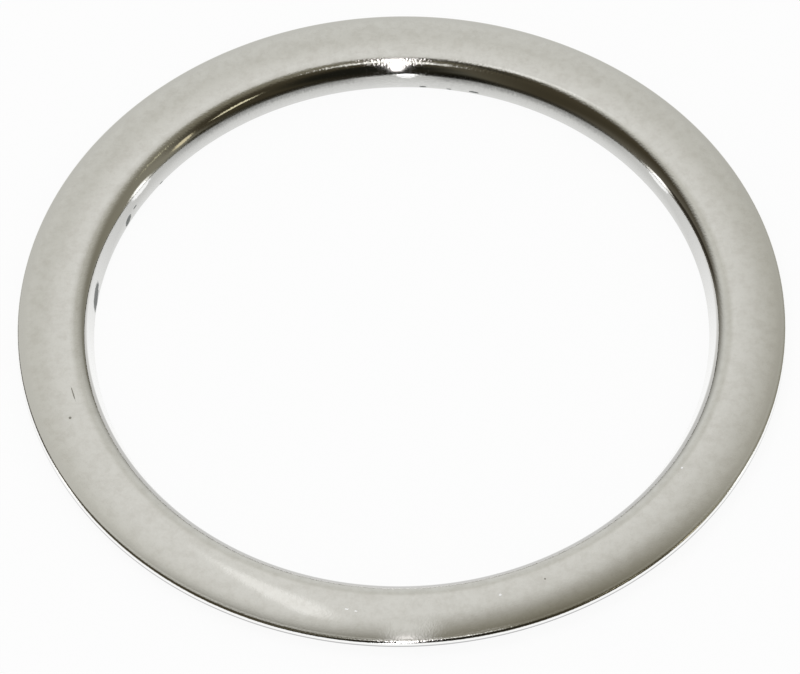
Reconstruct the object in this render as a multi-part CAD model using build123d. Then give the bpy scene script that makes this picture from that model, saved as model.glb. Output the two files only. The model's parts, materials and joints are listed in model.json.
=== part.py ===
from build123d import *
import math
import os

# A pressed pipe escutcheon: one ring of plated sheet metal that slides over a pipe and covers the
# hole around it. A leaning collar is rolled down at the bore, the face is a shallow dome, and the
# outer edge is turned down into a short skirt, so the back is an open channel. The collar's foot is
# bored to size and faced flat, which leaves a narrow upright land around the pipe.
#
# Millimetres and degrees. +Z is up, out of the face. The origin is on the bore's axis, level with
# the collar's foot, which the ring stands on when it lies face up.

# Plan of the ring and the gauge of the sheet
bore_diameter = 116.0
ring_width = 14.5
sheet = 0.8

# Collar: the land at its foot, then the wall, which leans away from the bore's axis
land_height = 0.4
collar_lean = 25.0
wall_length = 2.2

# Roll from the collar's wall to the crest of the face, as its inside radius
roll_bend = 3.8

# Face, which falls by this angle where it meets the skirt, and the rounded outer edge
edge_fall = 20.0
edge_radius = 0.7
skirt_height = 1.2

# Worked out from the sizes above
bore_radius = bore_diameter / 2
outer_radius = bore_radius + ring_width
lean = math.radians(collar_lean)
wall_direction = (math.sin(lean), math.cos(lean))


def show_side():
    """The skin that is seen, from below the collar's foot over the crest to the skirt's foot."""
    foot = (bore_radius - land_height * math.tan(lean), 0)
    wall = PolarLine(foot, wall_length + land_height / math.cos(lean), direction=wall_direction)
    roll = JernArc(wall @ 1, wall % 1, roll_bend + sheet, collar_lean - 90)
    crest = roll @ 1
    dome_radius = (outer_radius - crest.X) / math.sin(math.radians(edge_fall))
    dome = JernArc(crest, roll % 1, dome_radius, -edge_fall)
    skirt = PolarLine(dome @ 1, skirt_height, direction=(0, -1))
    return Curve() + [wall, roll, dome, skirt]


def ring_section():
    """The sheet's section: the skin thickened towards the back, bored, faced and rounded."""
    blank = make_face(offset(show_side(), amount=sheet, side=Side.RIGHT).edges())
    kept = Pos(bore_radius, 0) * Rectangle(2 * ring_width, ring_width, align=Align.MIN)
    section = blank & kept
    outer_corner = section.vertices().group_by(Axis.X)[-1].sort_by(Axis.Y)[-1]
    return fillet(outer_corner, edge_radius)


escutcheon_ring = revolve(Plane.XZ * ring_section(), Axis.Z)

os.makedirs("parts", exist_ok=True)
export_step(escutcheon_ring, "parts/escutcheon_ring.step")
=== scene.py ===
import json
import math

import bmesh
import bpy
from mathutils import Matrix, Vector


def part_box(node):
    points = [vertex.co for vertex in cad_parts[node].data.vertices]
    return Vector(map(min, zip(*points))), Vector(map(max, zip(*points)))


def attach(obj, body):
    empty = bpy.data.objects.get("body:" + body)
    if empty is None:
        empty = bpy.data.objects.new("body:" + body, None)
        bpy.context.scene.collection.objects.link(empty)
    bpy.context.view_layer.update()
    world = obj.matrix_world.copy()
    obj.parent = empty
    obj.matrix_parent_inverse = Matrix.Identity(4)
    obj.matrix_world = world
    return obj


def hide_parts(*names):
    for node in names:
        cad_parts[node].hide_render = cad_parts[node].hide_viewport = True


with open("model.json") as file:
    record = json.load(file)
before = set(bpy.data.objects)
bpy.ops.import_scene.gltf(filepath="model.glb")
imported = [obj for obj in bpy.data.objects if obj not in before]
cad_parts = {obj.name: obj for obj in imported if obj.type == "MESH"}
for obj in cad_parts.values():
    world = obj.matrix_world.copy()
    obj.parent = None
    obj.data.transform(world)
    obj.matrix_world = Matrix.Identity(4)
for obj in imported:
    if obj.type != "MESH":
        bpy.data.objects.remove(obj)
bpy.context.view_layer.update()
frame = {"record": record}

# A plated pipe escutcheon lying face up on a white table, seen from above its front.
# Sizes of the ring are in millimetres, as the section was drawn, and the scene is in metres.
MM = 0.001
DEGREES = 180 / math.pi

# Plan and heights of the ring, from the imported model
mounts = {mount["name"]: mount for mount in frame["record"]["mounts"]}
bore_radius = mounts["pipe_bore"]["dims"]["r_mm"]
land_height = mounts["pipe_bore"]["dims"]["length_mm"]
rim_height = mounts["rim_seat"]["pos_m"][2] / MM
outer_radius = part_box("escutcheon_ring")[1].x / MM

# The rest of the pressed section
sheet = 0.8
collar_lean = 25.0
wall_length = 2.2
roll_radius = 4.6
edge_fall = 20.0
edge_radius = 0.7
edge_break = 0.1

# Worked out from the sizes above
lean = math.radians(collar_lean)
wall_top = (bore_radius + wall_length * math.sin(lean), land_height + wall_length * math.cos(lean))
roll_centre = (wall_top[0] + roll_radius * math.cos(lean), wall_top[1] - roll_radius * math.sin(lean))
crest_height = roll_centre[1] + roll_radius
dome_radius = (outer_radius - roll_centre[0]) / math.sin(math.radians(edge_fall))
dome_centre = (roll_centre[0], crest_height - dome_radius)
edge_reach = outer_radius - edge_radius - dome_centre[0]
edge_start = math.degrees(math.asin(edge_reach / (dome_radius - edge_radius)))
edge_centre = (outer_radius - edge_radius,
               dome_centre[1] + (dome_radius - edge_radius) * math.cos(math.radians(edge_start)))

# How finely the ring is divided
turns = 512
roll_steps = 44
dome_steps = 36
edge_steps = 18
hidden_steps = 14
break_steps = 4


def arc(centre, radius, start, end, steps, hollow=False):
    """Points (r, z) and outward normals along an arc, by angles in degrees from +Z towards +R."""
    rows = []
    for step in range(steps + 1):
        angle = math.radians(start + (end - start) * step / steps)
        out = (math.sin(angle), math.cos(angle))
        side = -1 if hollow else 1
        rows.append((centre[0] + radius * out[0], centre[1] + radius * out[1], side * out[0], side * out[1]))
    return rows


def corner(at, heading_in, heading_out, radius=edge_break):
    """A broken corner between two straight runs, by their headings in degrees from +R towards +Z."""
    turn = heading_out - heading_in
    trim = radius * abs(math.tan(math.radians(turn / 2)))
    way = (math.cos(math.radians(heading_in)), math.sin(math.radians(heading_in)))
    left = (-way[1], way[0])
    side = 1 if turn > 0 else -1
    centre = (at[0] - trim * way[0] + side * radius * left[0],
              at[1] - trim * way[1] + side * radius * left[1])
    # The outward normal is to the left of a run, so its angle in arc() is minus the heading
    start = -heading_in
    end = -heading_out
    rows = []
    for step in range(break_steps + 1):
        angle = math.radians(start + (end - start) * step / break_steps)
        out = (math.sin(angle), math.cos(angle))
        rows.append((centre[0] - side * radius * out[0], centre[1] - side * radius * out[1], *out))
    return rows


def ring_section():
    """The closed section of the ring, up the collar, over the face, down the skirt and back behind."""
    foot_width = sheet / math.cos(lean) - land_height * math.tan(lean)
    skirt_inside = outer_radius - sheet
    hidden_dome = dome_radius - sheet
    hidden_fall = math.degrees(math.asin((skirt_inside - dome_centre[0]) / hidden_dome))
    hidden_corner = (skirt_inside, dome_centre[1] + hidden_dome * math.cos(math.radians(hidden_fall)))
    hidden_trim = math.degrees(edge_break / hidden_dome)
    rows = corner((bore_radius, 0), 180, 90)
    rows += corner((bore_radius, land_height), 90, 90 - collar_lean)
    rows += arc(roll_centre, roll_radius, collar_lean - 90, 0, roll_steps)
    rows += arc(dome_centre, dome_radius, 0, edge_start, dome_steps)[1:]
    rows += arc(edge_centre, edge_radius, edge_start, 90, edge_steps)[1:]
    rows += corner((outer_radius, rim_height), 270, 180)
    rows += corner((skirt_inside, rim_height), 180, 90)
    rows += corner(hidden_corner, 90, 180 - hidden_fall)
    rows += arc(dome_centre, hidden_dome, hidden_fall - hidden_trim, 0, hidden_steps, hollow=True)
    rows += arc(roll_centre, roll_radius - sheet, 0, collar_lean - 90, hidden_steps, hollow=True)[1:]
    rows += corner((bore_radius + foot_width, 0), 270 - collar_lean, 180)
    return rows


def lathe(name, section):
    """A closed ring turned from the section, with the section's own normals."""
    count = len(section)
    points = []
    normals = []
    for turn in range(turns):
        angle = 2 * math.pi * turn / turns
        across, along = math.cos(angle), math.sin(angle)
        for r, z, out_r, out_z in section:
            points.append((r * across * MM, r * along * MM, z * MM))
            normals.append((out_r * across, out_r * along, out_z))
    faces = []
    for turn in range(turns):
        here, there = turn * count, (turn + 1) % turns * count
        for row in range(count):
            above = (row + 1) % count
            faces.append((here + row, here + above, there + above, there + row))
    mesh = bpy.data.meshes.new(name)
    mesh.from_pydata(points, [], faces)
    mesh.shade_smooth()
    mesh.normals_split_custom_set_from_vertices(normals)
    made = bpy.data.objects.new(name, mesh)
    bpy.context.scene.collection.objects.link(made)
    return made


def add(tree, kind, inputs=None, **settings):
    """Adds a shader node. inputs maps a socket to a value, or to the output that feeds it."""
    made = tree.nodes.new("ShaderNode" + kind)
    for name, value in settings.items():
        setattr(made, name, value)
    for key, value in (inputs or {}).items():
        if isinstance(value, bpy.types.NodeSocket):
            tree.links.new(value, made.inputs[key])
        else:
            made.inputs[key].default_value = value
    return made


def calc(tree, operation, first, second=0.0):
    return add(tree, "Math", {0: first, 1: second}, operation=operation).outputs[0]


def smooth(tree, value, low, high, to_low=0.0, to_high=1.0):
    """A soft step of value from low to high."""
    sockets = {"Value": value, "From Min": low, "From Max": high, "To Min": to_low, "To Max": to_high}
    return add(tree, "MapRange", sockets, interpolation_type="SMOOTHSTEP").outputs[0]


def blend(tree, factor, first, second):
    """Mixes two colours."""
    mixed = add(tree, "Mix", {0: factor, 6: first, 7: second}, data_type="RGBA")
    return mixed.outputs[2]


def new_tree(owner):
    owner.use_nodes = True
    owner.node_tree.nodes.clear()
    return owner.node_tree


def grey(level):
    return (level, level, level, 1)


# Plating: a warm nickel-chrome; painted shade darkens the roll's flank, and painted reflections of the white
# table make it paler low on the wall and on the skirt
plate_colour = (0.78, 0.77, 0.74, 1)
plate_dull = (0.70, 0.685, 0.65, 1)
# Painted shade on the roll's flank, deeper on the near side
flank_painted_shade = (0.61, 0.60, 0.57, 1)
flank_painted_shade_near = (0.49, 0.485, 0.465, 1)
wall_colour = (0.54, 0.54, 0.52, 1)
# A painted dark reflection for the top of the far wall, and painted reflections of the white table that pale
# the wall away from the far side and low down
wall_painted_dark = (0.25, 0.25, 0.24, 1)
wall_painted_reflection = (0.95, 0.95, 0.94, 1)
low_reflection_share = 0.40
edge_colour = (0.72, 0.71, 0.68, 1)
# Painted reflection of the white table on the skirt, and a painted shadow line at its foot
skirt_painted_reflection = (0.97, 0.97, 0.96, 1)
rim_painted_shadow = (0.50, 0.50, 0.50, 1)

# Roughness of the face, and what mottling, drawing marks, the dark pitted spots and the painted glints change
# in it
face_roughness = 0.07
mottle_roughness = 0.06
wall_roughness = 0.16
non_metal_roughness = 0.4

# Patterns in the plating: scales per millimetre, and the values between which the plate turns dull
ragged_scale = 2.2
mottle_scale = 0.5
grain_scale = 2.6
wave_scale = 0.10
mottle_band = (0.35, 0.75)

# Polishing marks run round the ring and drawing marks up the collar: scales per millimetre and per degree
polish_across = 9.0
polish_round = 0.12
drawing_up = 0.5
drawing_round = 6.0

# Depths of the relief in millimetres, and the grain's share of its depth away from the two bends
wave_depth = 0.020
polish_depth = 0.0006
grain_depth = 0.020
dark_spot_depth = 0.020
grain_elsewhere = 0.2

# Bands across the ring, in millimetres from the roll's centre
lip_limit = -0.60 * roll_radius
collar_limit = -1.0
flank_band = (-0.40 * roll_radius, -0.65 * roll_radius)
grain_band = (-0.15 * roll_radius, -0.35 * roll_radius)

# Bands from the top of the collar's wall: up it, and outwards from it
collar_band = (1.0, 0.5)
# Heights of the painted dark reflection along the far wall's top, and how much it wanders
painted_dark_heights = (-0.1, 1.15)
painted_dark_wander = 0.9
grain_start = (0.9, 1.6)

# Bands inwards from the outer edge, and the painted shadow line up the skirt from the rim
edge_band = (-2.4, -0.7)
bend_band = (-1.0, -0.5)
skirt_band = (-0.25, -0.1)
rim_line = 0.45
rim_band = (0.1, -0.1)

# Bands by how far a place lies behind the axis, from 1 at the far side to -1 at the near side
# The painted shade on the roll's flank deepens towards the near side, and the painted reflection pales the
# wall away from the far side
flank_near_band = (0.2, -0.6)
wall_pale_band = (0.65, -0.25)
# Where the painted dark reflection lies on the far wall, and how faint it is at the very middle
painted_dark_band = (0.60, 0.85)
painted_dark_gap = (0.998, 0.985)
painted_dark_in_gap = 0.1

# Soft edge of a mark in shares of its half sizes, how far it wanders, and the least upward share of the
# normal where marks lie: the land is upright, and the back of the sheet faces down
mark_edge = (1.45, 1.15)
mark_wander = 0.7
shown_least = -0.2

# Dark, dull, pitted spots on the collar, as (angle, height, half length, half width, climb per mm)
dark_collar_spots = [
    (170.5, 1.15, 3.2, 0.68, -0.14),
    (151.9, 0.85, 1.3, 0.42, -0.20),
    (140.9, 0.20, 0.5, 0.20, 0.0),
    (148.9, 1.35, 0.6, 0.12, 0.0),
    (85.1, 0.38, 0.7, 0.16, 0.0),
    (80.2, 0.32, 0.5, 0.13, 0.0),
    (75.4, 0.52, 1.0, 0.15, 0.0),
]
dark_spot_colour = (0.21, 0.22, 0.215, 1)

# Painted highlights at the top of the collar, reflections of the lights painted as pale patches, in the same
# terms
collar_painted_highlights = [
    (145.8, 2.75, 3.0, 0.55, 0.0),
    (33.5, 2.80, 3.2, 0.50, 0.0),
    (88.3, 2.50, 1.9, 0.50, 0.0),
]

# Dark marks on the face, as (angle, radius, half length, half width)
face_marks = [
    (194.0, 63.80, 1.9, 0.13),
    (198.4, 65.90, 0.35, 0.28),
    (293.5, 64.98, 0.22, 0.20),
]
mark_colour = (0.30, 0.29, 0.26, 1)

# Painted glints on the face, white dull spots in place of the flash's glints, as (angle, radius, half length,
# half width)
face_painted_glints = [
    (260.3, 66.41, 0.42, 0.16),
    (261.8, 66.63, 0.30, 0.12),
    (285.5, 65.38, 0.30, 0.22),
    (326.1, 62.70, 0.28, 0.18),
]
painted_glint_colour = grey(0.95)


def plate_material():
    """Nickel-chrome plate with polishing marks, mottling, a duller collar, dark pitted spots and small marks,
    and painted shade, reflections, highlights and glints.
    """
    material = bpy.data.materials.new("plate")
    tree = new_tree(material)
    coordinates = add(tree, "TexCoord").outputs
    place = coordinates["Object"]
    spot = add(tree, "VectorMath", {0: place, "Scale": 1 / MM}, operation="SCALE").outputs[0]
    axes = add(tree, "SeparateXYZ", {0: spot}).outputs
    flat = add(tree, "CombineXYZ", {0: axes[0], 1: axes[1]}).outputs[0]
    radius = add(tree, "VectorMath", {0: flat}, operation="LENGTH").outputs["Value"]
    turn = calc(tree, "ARCTAN2", axes[1], axes[0])
    turn = calc(tree, "MULTIPLY", turn, DEGREES)
    turn = calc(tree, "FLOORED_MODULO", turn, 360.0)
    height = axes[2]
    behind = calc(tree, "DIVIDE", axes[1], radius)

    def noise(scale, detail=2.0, vector=spot, rough=0.5):
        sockets = {"Vector": vector, "Scale": scale, "Detail": detail, "Roughness": rough}
        return add(tree, "TexNoise", sockets).outputs[0]

    def band(value, origin, limits):
        """A soft step of value between two limits, which are measured from the origin."""
        return smooth(tree, value, origin + limits[0], origin + limits[1])

    def bumped(relief, depth, under=None):
        """The normal with a relief laid over the one under it."""
        sockets = {"Height": relief, "Distance": depth * MM, "Strength": 1.0}
        if under:
            sockets["Normal"] = under
        return add(tree, "Bump", sockets).outputs[0]

    ragged = noise(ragged_scale, 3.0)

    def marks(places, across, at_radius):
        """The union of small soft-edged marks, each set by its angle and its place across the ring."""
        union = None
        for angle, centre, half_length, half_width, *climb in places:
            along = calc(tree, "MULTIPLY", calc(tree, "SUBTRACT", turn, angle), math.radians(at_radius))
            offset = calc(tree, "SUBTRACT", across, centre)
            if climb:
                offset = calc(tree, "SUBTRACT", offset, calc(tree, "MULTIPLY", along, climb[0]))
            along = calc(tree, "MULTIPLY", along, 1 / half_length)
            offset = calc(tree, "MULTIPLY", offset, 1 / half_width)
            pair = add(tree, "CombineXYZ", {0: along, 1: offset}).outputs[0]
            away = add(tree, "VectorMath", {0: pair}, operation="LENGTH").outputs["Value"]
            away = calc(tree, "ADD", away, calc(tree, "MULTIPLY", ragged, mark_wander))
            mask = smooth(tree, away, *mark_edge)
            union = mask if union is None else calc(tree, "MAXIMUM", union, mask)
        return union

    # Dark pitted spots, painted highlights, dark marks and painted glints, on the side of the sheet that is
    # seen
    facing = add(tree, "SeparateXYZ", {0: coordinates["Normal"]}).outputs
    shown = calc(tree, "GREATER_THAN", facing[2], shown_least)
    on_collar = calc(tree, "MULTIPLY", calc(tree, "LESS_THAN", radius, wall_top[0]), shown)
    dark_spots = calc(tree, "MULTIPLY", marks(dark_collar_spots, height, bore_radius), on_collar)
    on_lip = calc(tree, "MULTIPLY", calc(tree, "LESS_THAN", radius, roll_centre[0] + lip_limit), shown)
    painted_highlights = calc(tree, "MULTIPLY", marks(collar_painted_highlights, height, bore_radius), on_lip)
    dark_marks = calc(tree, "MULTIPLY", marks(face_marks, radius, outer_radius), shown)
    painted_glints = calc(tree, "MULTIPLY", marks(face_painted_glints, radius, outer_radius), shown)
    non_metal_spots = calc(tree, "MAXIMUM", dark_spots, painted_glints)

    # Patterns
    round_lines = add(tree, "CombineXYZ", {0: calc(tree, "MULTIPLY", radius, polish_across),
                                           1: calc(tree, "MULTIPLY", turn, polish_round),
                                           2: calc(tree, "MULTIPLY", height, polish_across)}).outputs[0]
    polish = noise(1.0, 2.0, round_lines)
    across_lines = add(tree, "CombineXYZ", {0: calc(tree, "MULTIPLY", turn, drawing_round),
                                            1: calc(tree, "MULTIPLY", height, drawing_up)}).outputs[0]
    drawing = noise(1.0, 3.0, across_lines)
    mottle = noise(mottle_scale, 4.0, rough=0.7)
    grain = noise(grain_scale)
    waves = noise(wave_scale, 1.0)

    # Colour of the face, painted shade on the roll's flank, deeper towards the near side, and the outer edge
    colour = blend(tree, smooth(tree, mottle, *mottle_band), plate_colour, plate_dull)
    flank = band(radius, roll_centre[0], flank_band)
    painted_shade_flank = blend(tree, smooth(tree, behind, *flank_near_band), flank_painted_shade, flank_painted_shade_near)
    colour = blend(tree, flank, colour, painted_shade_flank)
    colour = blend(tree, band(radius, outer_radius, edge_band), colour, edge_colour)

    # Colour of the collar: painted reflections of the white table make its wall paler away from the far side
    # and low down, and a painted dark reflection lies along the top of its far wall
    collar = band(height, wall_top[1], collar_band)
    inner = calc(tree, "LESS_THAN", radius, roll_centre[0] + collar_limit)
    collar = calc(tree, "MULTIPLY", collar, inner)
    painted_reflection_aside = smooth(tree, behind, *wall_pale_band)
    # Painted reflection of the white table, stronger low on the wall
    low = smooth(tree, height, wall_top[1], 0.0, 0.0, low_reflection_share)
    wall_with_painted_reflections = blend(tree, calc(tree, "MAXIMUM", painted_reflection_aside, low), wall_colour, wall_painted_reflection)
    # Painted dark reflection along the top of the far wall
    wander = calc(tree, "MULTIPLY", calc(tree, "ADD", drawing, ragged), painted_dark_wander)
    painted_dark_reflection = band(calc(tree, "ADD", height, wander), wall_top[1], painted_dark_heights)
    painted_dark_reflection = calc(tree, "MULTIPLY", painted_dark_reflection, smooth(tree, behind, *painted_dark_band))
    painted_dark_reflection = calc(tree, "MULTIPLY", painted_dark_reflection, smooth(tree, behind, *painted_dark_gap, painted_dark_in_gap, 1.0))
    wall_with_painted_reflections = blend(tree, painted_dark_reflection, wall_with_painted_reflections, wall_painted_dark)
    colour = blend(tree, collar, colour, wall_with_painted_reflections)
    # Painted highlights: the lights' reflections at the top of the collar
    colour = blend(tree, painted_highlights, colour, wall_painted_reflection)

    # Colour of the skirt: a painted reflection of the white table, with a painted shadow line at its foot;
    # then the small marks
    on_skirt = band(radius, outer_radius, skirt_band)
    colour = blend(tree, on_skirt, colour, skirt_painted_reflection)
    # Painted shadow line at the foot of the skirt
    rim = band(height, rim_height + rim_line, rim_band)
    colour = blend(tree, calc(tree, "MULTIPLY", on_skirt, rim), colour, rim_painted_shadow)
    colour = blend(tree, dark_marks, colour, mark_colour)
    # Dark, dull, pitted spots on the collar
    colour = blend(tree, dark_spots, colour, dark_spot_colour)
    # Painted glints: white, dull spots in place of the flash's glints
    colour = blend(tree, painted_glints, colour, painted_glint_colour)

    duller = calc(tree, "MULTIPLY", drawing, wall_roughness)
    uneven = calc(tree, "MULTIPLY", mottle, mottle_roughness)
    roughness = calc(tree, "ADD", face_roughness - mottle_roughness / 2, uneven)
    roughness = calc(tree, "ADD", roughness, calc(tree, "MULTIPLY", collar, duller))
    roughness = calc(tree, "ADD", roughness, calc(tree, "MULTIPLY", non_metal_spots, non_metal_roughness))

    # Relief: wide waves, polishing marks, a grain that is coarse on the two bends, and the dark spots' pits
    turned_in = band(radius, roll_centre[0], grain_band)
    turned_in = calc(tree, "MULTIPLY", turned_in, band(radius, wall_top[0], grain_start))
    turned_down = band(radius, outer_radius, bend_band)
    coarse = calc(tree, "MAXIMUM", calc(tree, "MAXIMUM", turned_in, turned_down), grain_elsewhere)
    normal = bumped(waves, wave_depth)
    normal = bumped(polish, polish_depth, normal)
    normal = bumped(calc(tree, "MULTIPLY", grain, coarse), grain_depth, normal)
    normal = bumped(calc(tree, "SUBTRACT", 1.0, dark_spots), dark_spot_depth, normal)

    shader = add(tree, "BsdfPrincipled", {"Base Color": colour, "Roughness": roughness,
                                          "Metallic": calc(tree, "SUBTRACT", 1.0, non_metal_spots),
                                          "Normal": normal})
    add(tree, "OutputMaterial", {0: shader.outputs[0]})
    return material


def background_rays(tree):
    """1 for the rays that show the background: straight from the camera, mirrored or through glass."""
    path = add(tree, "LightPath").outputs
    seen = calc(tree, "MAXIMUM", path["Is Camera Ray"], path["Is Glossy Ray"])
    return calc(tree, "MAXIMUM", seen, path["Is Transmission Ray"])


# White table: most of its whiteness is its own, and the rest takes the ring's soft shadow
table_white = 1.0
table_glow = 0.9
table_radius = 12.0
table_sides = 96
paper_scale = 6.0
paper_dark = grey(0.90)
paper_light = grey(0.93)


def table():
    bpy.ops.mesh.primitive_circle_add(vertices=table_sides, radius=table_radius, fill_type="NGON")
    made = bpy.context.object
    made.name = "table"
    material = bpy.data.materials.new("table_white")
    tree = new_tree(material)
    paper = add(tree, "TexNoise", {"Scale": paper_scale, "Detail": 3.0}).outputs[0]
    shade = blend(tree, paper, paper_dark, paper_light)
    diffuse = add(tree, "BsdfDiffuse", {"Color": shade})
    glow = add(tree, "Emission", {"Color": grey(table_white), "Strength": 1.0})
    share = calc(tree, "MULTIPLY", background_rays(tree), table_glow)
    mixed = add(tree, "MixShader", {0: share, 1: diffuse.outputs[0], 2: glow.outputs[0]})
    add(tree, "OutputMaterial", {0: mixed.outputs[0]})
    made.data.materials.append(material)


# World: white where it is seen or mirrored, and this grey as light from all round
room_grey = grey(0.72)


def white_world():
    world = bpy.data.worlds.new("white_room")
    bpy.context.scene.world = world
    tree = new_tree(world)
    room = add(tree, "Background", {"Color": room_grey, "Strength": 1.0})
    white = add(tree, "Background", {"Color": grey(table_white), "Strength": 1.0})
    mixed = add(tree, "MixShader", {0: background_rays(tree), 1: room.outputs[0], 2: white.outputs[0]})
    add(tree, "OutputWorld", {0: mixed.outputs[0]})


# Light tent far around the ring: pale behind and above, dark in front where the camera stands.
# Places in it are azimuth and elevation in degrees; azimuth 0 is straight behind and 90 to the right.
tent_radius = 6.0
tent_low = (0.72, 0.725, 0.70, 1)
tent_high = (0.65, 0.645, 0.60, 1)
tent_rise = (0.2, 1.0)

# Soft round areas of the tent, as (azimuth, elevation, full radius, last radius, colour)
tent_areas = [
    (-179, -32, 112, 134, (0.064, 0.054, 0.034, 1)),
    (11, 68, 0, 32, (0.82, 0.82, 0.795, 1)),
    (-83, -40, 0, 81, (0.25, 0.235, 0.195, 1)),
    (178, 24, 18, 28, (0.014, 0.014, 0.010, 1)),
]

# Flash beside the camera, smeared upright.
# Its place is the angle forward from straight above; its width is across.
flash_forward = 37.0
flash_half_height = 34.0
flash_half_width = 1.7
flash_light = (5.0, 4.85, 4.95, 1)

# Soft cards nearer than the tent, in the same terms: a warm grey one to the right, darker ones in front
card_radius = 0.5
card_areas = [
    (118, -6, 35, 113, (0.31, 0.295, 0.235, 1)),
    (136, 58, 0, 41, (0.215, 0.20, 0.15, 1)),
    (148, 37, 26, 44, (0.060, 0.051, 0.032, 1)),
    (170, 38, 10, 28, (0.014, 0.014, 0.010, 1)),
    (-172, 10, 14, 28, (0.020, 0.018, 0.012, 1)),
]

# The gap between the cards that the flash shines through
gap_half_height = 48.0
gap_half_width = 3.5

# Small patches as near as the cards, dark and bright, as
# (azimuth, elevation, half width, half height, slant, colour)
card_patches = [
    (-77, 9, 20, 7, 0.0, (0.045, 0.038, 0.028, 1)),
    (56, 4, 22, 6, 0.0, (0.32, 0.31, 0.26, 1)),
    (118, 6, 7.0, 7.0, 0.0, (0.075, 0.065, 0.040, 1)),
    (125, 38.5, 4.2, 5.5, 1.1, (1.15, 1.08, 0.78, 1)),
    (108.6, 24.5, 3.4, 8.5, 0.0, (0.95, 0.86, 0.60, 1)),
    (88, 46.5, 2.4, 4.2, 0.0, (0.80, 0.77, 0.56, 1)),
    (92.5, 2, 5.0, 12.0, 0.0, (1.6, 1.6, 1.55, 1)),
    (-92, 2, 6.0, 10.0, 0.0, (1.7, 1.68, 1.62, 1)),
    (-177, 2, 3.2, 5.0, 0.0, (5.0, 5.0, 5.0, 1)),
]

# Soft edge of the flash, the gap, the patches and the strips, in shares of their half sizes
oval_edge = (1.2, 0.7)

# Divisions of the half spheres that carry the tent and the cards, and the slack in cutting them at level,
# as a share of their radius
shell_turns = 96
shell_rows = 64
shell_margin = 0.001

# Strips, as (forward from straight above, sideways, slant, half height, half width, colour):
# a black line behind the flash in the tent, and as near as the cards a bright line and an upright strip
tent_strips = [
    (10.5, -8, -0.5, 4.0, 13.0, (0.008, 0.008, 0.007, 1)),
]
card_strips = [
    (18.0, 0, -0.7, 3.4, 11.0, (1.7, 1.7, 1.65, 1)),
    (-13.0, -7.6, 0.0, 11.0, 2.4, (1.02, 1.02, 1.00, 1)),
]


def aim(azimuth, elevation):
    """Unit vector towards a place in the tent."""
    round_way = math.radians(azimuth)
    rise = math.radians(elevation)
    return (math.sin(round_way) * math.cos(rise), math.cos(round_way) * math.cos(rise), math.sin(rise))


def area(tree, way, around, rise, full, last):
    """1 within the full radius of a place in the tent, fading to 0 at the last radius."""
    product = add(tree, "VectorMath", {0: way, 1: aim(around, rise)}, operation="DOT_PRODUCT")
    towards = product.outputs["Value"]
    return smooth(tree, towards, math.cos(math.radians(last)), math.cos(math.radians(full)))


def oval(tree, along, across, half_along, half_across):
    """1 inside an oval of the given half sizes and 0 outside it, with a soft edge."""
    pair = add(tree, "CombineXYZ", {0: calc(tree, "MULTIPLY", along, 1 / half_along),
                                    1: calc(tree, "MULTIPLY", across, 1 / half_across)}).outputs[0]
    away = add(tree, "VectorMath", {0: pair}, operation="LENGTH").outputs["Value"]
    return smooth(tree, away, *oval_edge)


def dome_tree(name, radius):
    """A half sphere over the ring that only mirror reflections see: its node tree, and the way to a point."""
    mesh = bpy.data.meshes.new(name)
    made = bpy.data.objects.new(name, mesh)
    bpy.context.scene.collection.objects.link(made)
    shell = bmesh.new()
    bmesh.ops.create_uvsphere(shell, u_segments=shell_turns, v_segments=shell_rows, radius=radius)
    below = [vertex for vertex in shell.verts if vertex.co.z < -shell_margin * radius]
    bmesh.ops.delete(shell, geom=below, context="VERTS")
    shell.to_mesh(mesh)
    shell.free()
    mesh.shade_smooth()
    made.visible_camera = False
    made.visible_diffuse = False
    made.visible_shadow = False
    material = bpy.data.materials.new(name)
    tree = new_tree(material)
    mesh.materials.append(material)
    place = add(tree, "TexCoord").outputs["Object"]
    return tree, add(tree, "VectorMath", {0: place}, operation="NORMALIZE").outputs[0]


def front_angles(tree, way):
    """The angle of a point forward from straight above, and its angle sideways, in degrees."""
    axes = add(tree, "SeparateXYZ", {0: way}).outputs
    ahead = calc(tree, "MULTIPLY", axes[1], -1.0)
    forward = calc(tree, "MULTIPLY", calc(tree, "ARCTAN2", ahead, axes[2]), DEGREES)
    sideways = calc(tree, "MULTIPLY", calc(tree, "ARCSINE", axes[0]), DEGREES)
    return forward, sideways


def strip(tree, forward, sideways, ahead, aside, slant, half_height, half_width):
    """1 inside a strip, set by its middle, its lean and its half sizes in degrees."""
    beside = calc(tree, "SUBTRACT", sideways, aside)
    up = calc(tree, "SUBTRACT", forward, ahead)
    up = calc(tree, "SUBTRACT", up, calc(tree, "MULTIPLY", beside, slant))
    return oval(tree, up, beside, half_height, half_width)


def tent():
    """The far light and the flash."""
    tree, way = dome_tree("light_tent", tent_radius)
    height = add(tree, "SeparateXYZ", {0: way}).outputs[2]
    colour = blend(tree, smooth(tree, height, *tent_rise), tent_low, tent_high)
    for *where, paint in tent_areas:
        colour = blend(tree, area(tree, way, *where), colour, paint)
    forward, sideways = front_angles(tree, way)
    for *where, paint in tent_strips:
        colour = blend(tree, strip(tree, forward, sideways, *where), colour, paint)
    up = calc(tree, "SUBTRACT", forward, flash_forward)
    flash = oval(tree, up, sideways, flash_half_height, flash_half_width)
    colour = blend(tree, flash, colour, flash_light)
    light = add(tree, "Emission", {"Color": colour, "Strength": 1.0})
    add(tree, "OutputMaterial", {0: light.outputs[0]})


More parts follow.
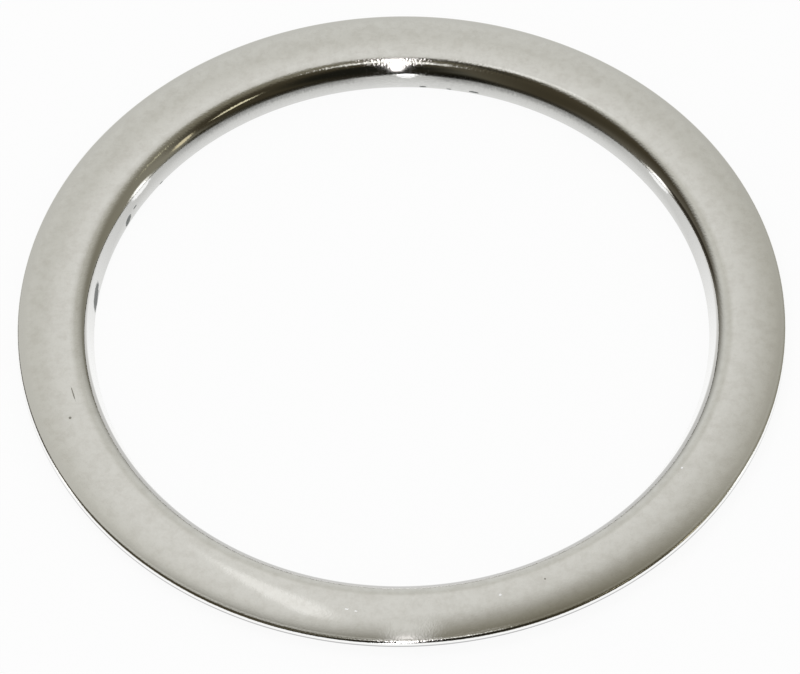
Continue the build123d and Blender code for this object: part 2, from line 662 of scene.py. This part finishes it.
def cards():
    """The nearer things, clear between them."""
    tree, way = dome_tree("cards", card_radius)
    axes = add(tree, "SeparateXYZ", {0: way}).outputs
    azimuth = calc(tree, "MULTIPLY", calc(tree, "ARCTAN2", axes[0], axes[1]), DEGREES)
    elevation = calc(tree, "MULTIPLY", calc(tree, "ARCSINE", axes[2]), DEGREES)
    forward, sideways = front_angles(tree, way)
    colour = grey(0.0)
    clear = grey(1.0)

    def lay(mask, paint, see_through=0.0):
        """Lays a thing over the ones before it."""
        return blend(tree, mask, colour, paint), blend(tree, mask, clear, grey(see_through))

    for *where, paint in card_areas:
        colour, clear = lay(area(tree, way, *where), paint)
    up = calc(tree, "SUBTRACT", forward, flash_forward)
    colour, clear = lay(oval(tree, up, sideways, gap_half_height, gap_half_width), grey(0.0), 1.0)
    for around, rise, half_width, half_height, slant, paint in card_patches:
        up = calc(tree, "SUBTRACT", elevation, rise)
        beside = calc(tree, "SUBTRACT", azimuth, around)
        beside = calc(tree, "SUBTRACT", beside, calc(tree, "MULTIPLY", up, slant))
        colour, clear = lay(oval(tree, beside, up, half_width, half_height), paint)
    for *where, paint in card_strips:
        colour, clear = lay(strip(tree, forward, sideways, *where), paint)
    light = add(tree, "Emission", {"Color": colour, "Strength": 1.0})
    through = add(tree, "BsdfTransparent", {"Color": clear})
    both = add(tree, "AddShader", {0: light.outputs[0], 1: through.outputs[0]})
    add(tree, "OutputMaterial", {0: both.outputs[0]})


# A broad lamp above the table, for the soft shadow
lamp_place = (-0.35, 0.25, 1.4)
lamp_size = 1.0
lamp_power = 4.0


def overhead_lamp():
    lamp = bpy.data.lights.new("overhead", "AREA")
    lamp.shape = "DISK"
    lamp.size = lamp_size
    lamp.energy = lamp_power
    made = bpy.data.objects.new("overhead", lamp)
    made.location = lamp_place
    made.rotation_euler = Vector(made.location).to_track_quat("Z", "Y").to_euler()
    made.visible_glossy = False
    bpy.context.scene.collection.objects.link(made)


# Camera, in metres and degrees: far off, with a long lens, and turned a little about its line of sight
camera_distance = 3.625
camera_rise = 54.731
camera_roll = 1.091
camera_target = (-0.000312, -0.000174, 0.0)
focal_pixels = 19222.8
picture_width = 800
sensor_width = 36.0


def camera():
    data = bpy.data.cameras.new("camera")
    data.sensor_fit = "HORIZONTAL"
    data.sensor_width = sensor_width
    data.lens = focal_pixels * sensor_width / picture_width
    made = bpy.data.objects.new("camera", data)
    rise = math.radians(camera_rise)
    stand = Vector((0, -camera_distance * math.cos(rise), camera_distance * math.sin(rise)))
    look = (Vector(camera_target) - stand).to_track_quat("-Z", "Y").to_matrix().to_4x4()
    tilt = Matrix.Rotation(math.radians(-camera_roll), 4, "Z")
    made.matrix_world = Matrix.Translation(stand) @ look @ tilt
    bpy.context.scene.collection.objects.link(made)
    bpy.context.scene.camera = made


bpy.context.scene.view_settings.view_transform = "Standard"
camera()
table()
white_world()
tent()
cards()
overhead_lamp()

ring = lathe("ring", ring_section())
ring.data.materials.append(plate_material())
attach(ring, "root")
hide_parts("escutcheon_ring")
